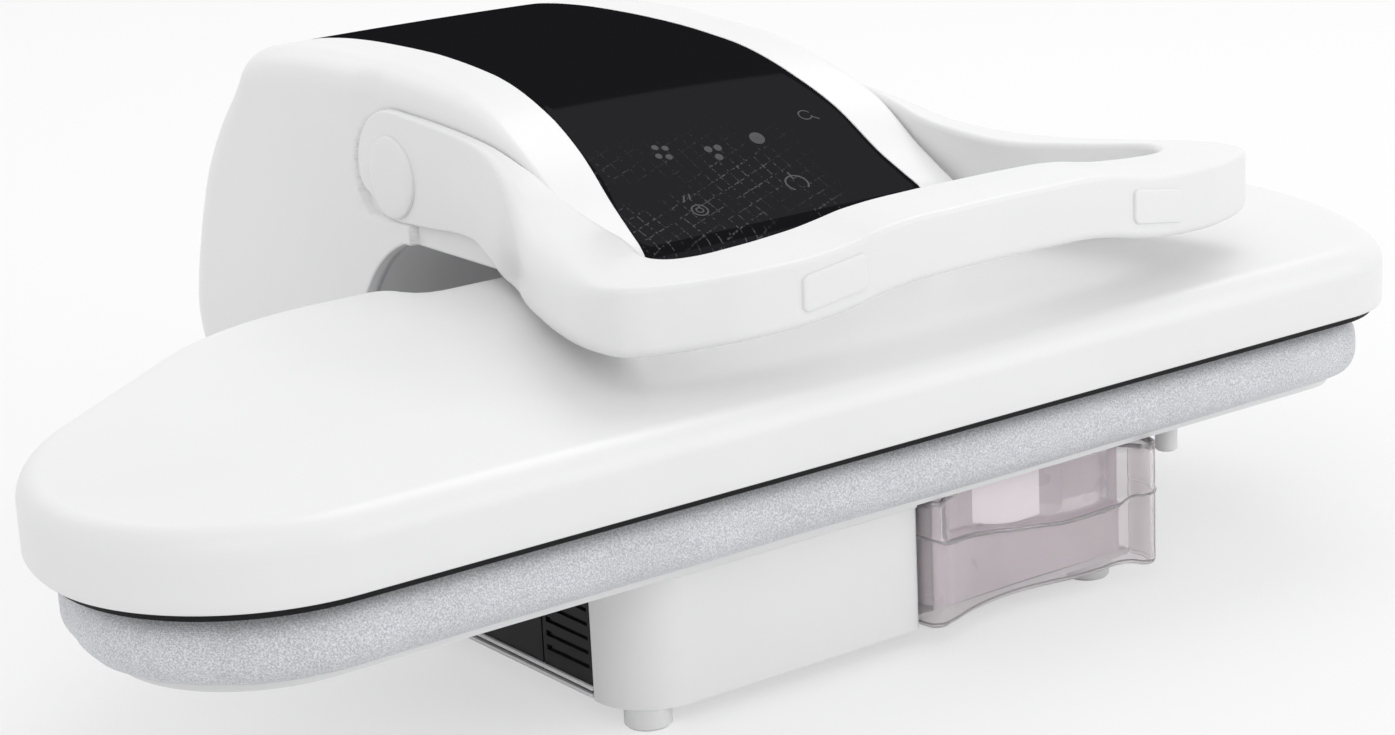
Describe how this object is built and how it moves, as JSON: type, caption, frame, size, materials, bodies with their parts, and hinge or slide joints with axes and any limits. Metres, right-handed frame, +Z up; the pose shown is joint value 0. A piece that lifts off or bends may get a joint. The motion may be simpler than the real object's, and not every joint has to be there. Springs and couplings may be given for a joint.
{
  "type": "steam press",
  "caption": "Tabletop steam ironing press: padded board, long heated plate on a hinged arm with a stirrup handle, and a slide-out water tank.",
  "frame": {"origin": "on the table, under the middle of the whole press", "axes": "+X along the pressing plate towards its square end, +Y away from the user, +Z up"},
  "size_m": [0.6599, 0.5428, 0.2189],
  "materials": {
    "white_gloss": "glossy",
    "white_satin": "satin",
    "dark_panel": "glossy",
    "black_gloss": "glossy",
    "grey_cover": "satin",
    "black_seal": "satin",
    "plate_metal": "satin",
    "silver_cloth": "matte",
    "steel": "brushed",
    "bush_plastic": "satin",
    "clear_tank": "glossy",
    "foot_white": "matte",
    "circuit": "satin",
    "mat_fibre": "matte"
  },
  "bodies": {
    "base": {"base_pan": "foot_white", "front_housing": "white_gloss", "side_bay": "black_gloss", "rear_housing": "white_gloss", "feet": "foot_white", "hinge_towers": "steel", "hinge_axle": "steel", "axle_clips": "steel", "lift_springs": "steel", "board_tray": "white_satin", "board_pad": "silver_cloth", "board_studs": "foot_white", "tank_dock": "white_satin", "pump": "steel", "power_board": "circuit", "power_inlet": "black_gloss"},
    "arm": {"arm_shell": "white_gloss", "glass_panel": "dark_panel", "arm_under_cover": "grey_cover", "arm_frame": "steel", "arm_bridge": "steel", "guide_bushes": "bush_plastic", "arm_spacers": "steel", "hinge_bushes": "bush_plastic", "handle_bushes": "bush_plastic", "control_board": "circuit"},
    "handle": {"handle_body": "white_gloss", "grip_pads": "white_gloss", "handle_shaft": "steel", "pivot_caps": "white_gloss", "press_cranks": "steel", "press_rollers": "bush_plastic"},
    "head": {"head_shell": "white_gloss", "heat_plate": "plate_metal", "plate_gasket": "black_seal", "steam_generator": "plate_metal", "insulation_mat": "mat_fibre", "thermostat": "steel", "head_carrier": "steel", "head_springs": "steel"},
    "tank": {"water_tank": "clear_tank", "tank_lid": "clear_tank", "tank_valve": "bush_plastic"},
    "cap": {"tank_cap": "white_satin"}
  },
  "joints": [
    {"name": "arm_hinge", "type": "hinge", "parent": "base", "child": "arm", "pos_m": [0.0615, 0.2184, 0.0678], "axis": [-1, 0, 0], "range_deg": [0, 45]},
    {"name": "handle_lift", "type": "hinge", "parent": "arm", "child": "handle", "pos_m": [0.0615, 0.0457, 0.1683], "axis": [-1, 0, 0], "range_deg": [0, 30]},
    {"name": "head_lift", "type": "slide", "parent": "arm", "child": "head", "axis": [0, 0, 1], "range_m": [0, 0.004], "deforming": ["head_springs"]},
    {"name": "tank_slide", "type": "slide", "parent": "base", "child": "tank", "axis": [0, -1, 0], "range_m": [0, 0.11]},
    {"name": "cap_turn", "type": "hinge", "parent": "tank", "child": "cap", "pos_m": [0.09, -0.1746, 0.057], "axis": [0, 0, 1], "range_deg": [0, 90]}
  ],
  "couplings": [
    {"joint": "head_lift", "follows": "handle_lift", "m_per_rad": 0.007639}
  ]
}
